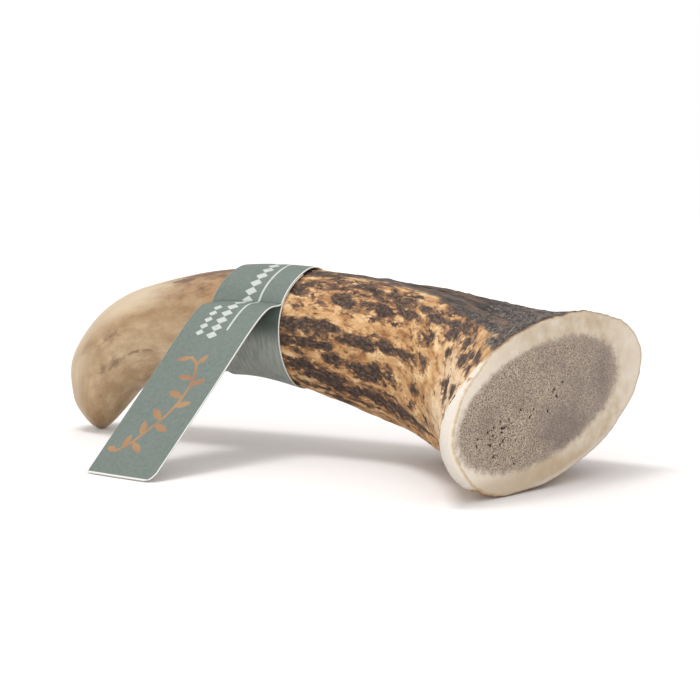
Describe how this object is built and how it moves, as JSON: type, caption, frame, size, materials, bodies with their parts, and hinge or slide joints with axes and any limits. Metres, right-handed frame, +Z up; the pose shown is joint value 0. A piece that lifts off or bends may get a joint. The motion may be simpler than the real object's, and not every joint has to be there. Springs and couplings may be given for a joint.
{
  "type": "deer antler dog chew",
  "caption": "Sawn, naturally curved length of deer antler with a rounded tip and a flat saw cut, lying down, with a paper strip wrapped round it.",
  "frame": {"origin": "on the ground, in the middle of the footprint that the part covers as it lies", "axes": "+X along the longest extent, from the rounded tip towards the saw cut; +Z up; the paper tail and the flare of the cut point towards -Y"},
  "size_m": [0.1946, 0.0997, 0.0588],
  "materials": {
    "antler": "matt, lightly polished on the ridges",
    "band_paper": "matt printed card"
  },
  "bodies": {
    "root": {"antler": "antler", "paper_band": "band_paper"}
  },
  "joints": []
}
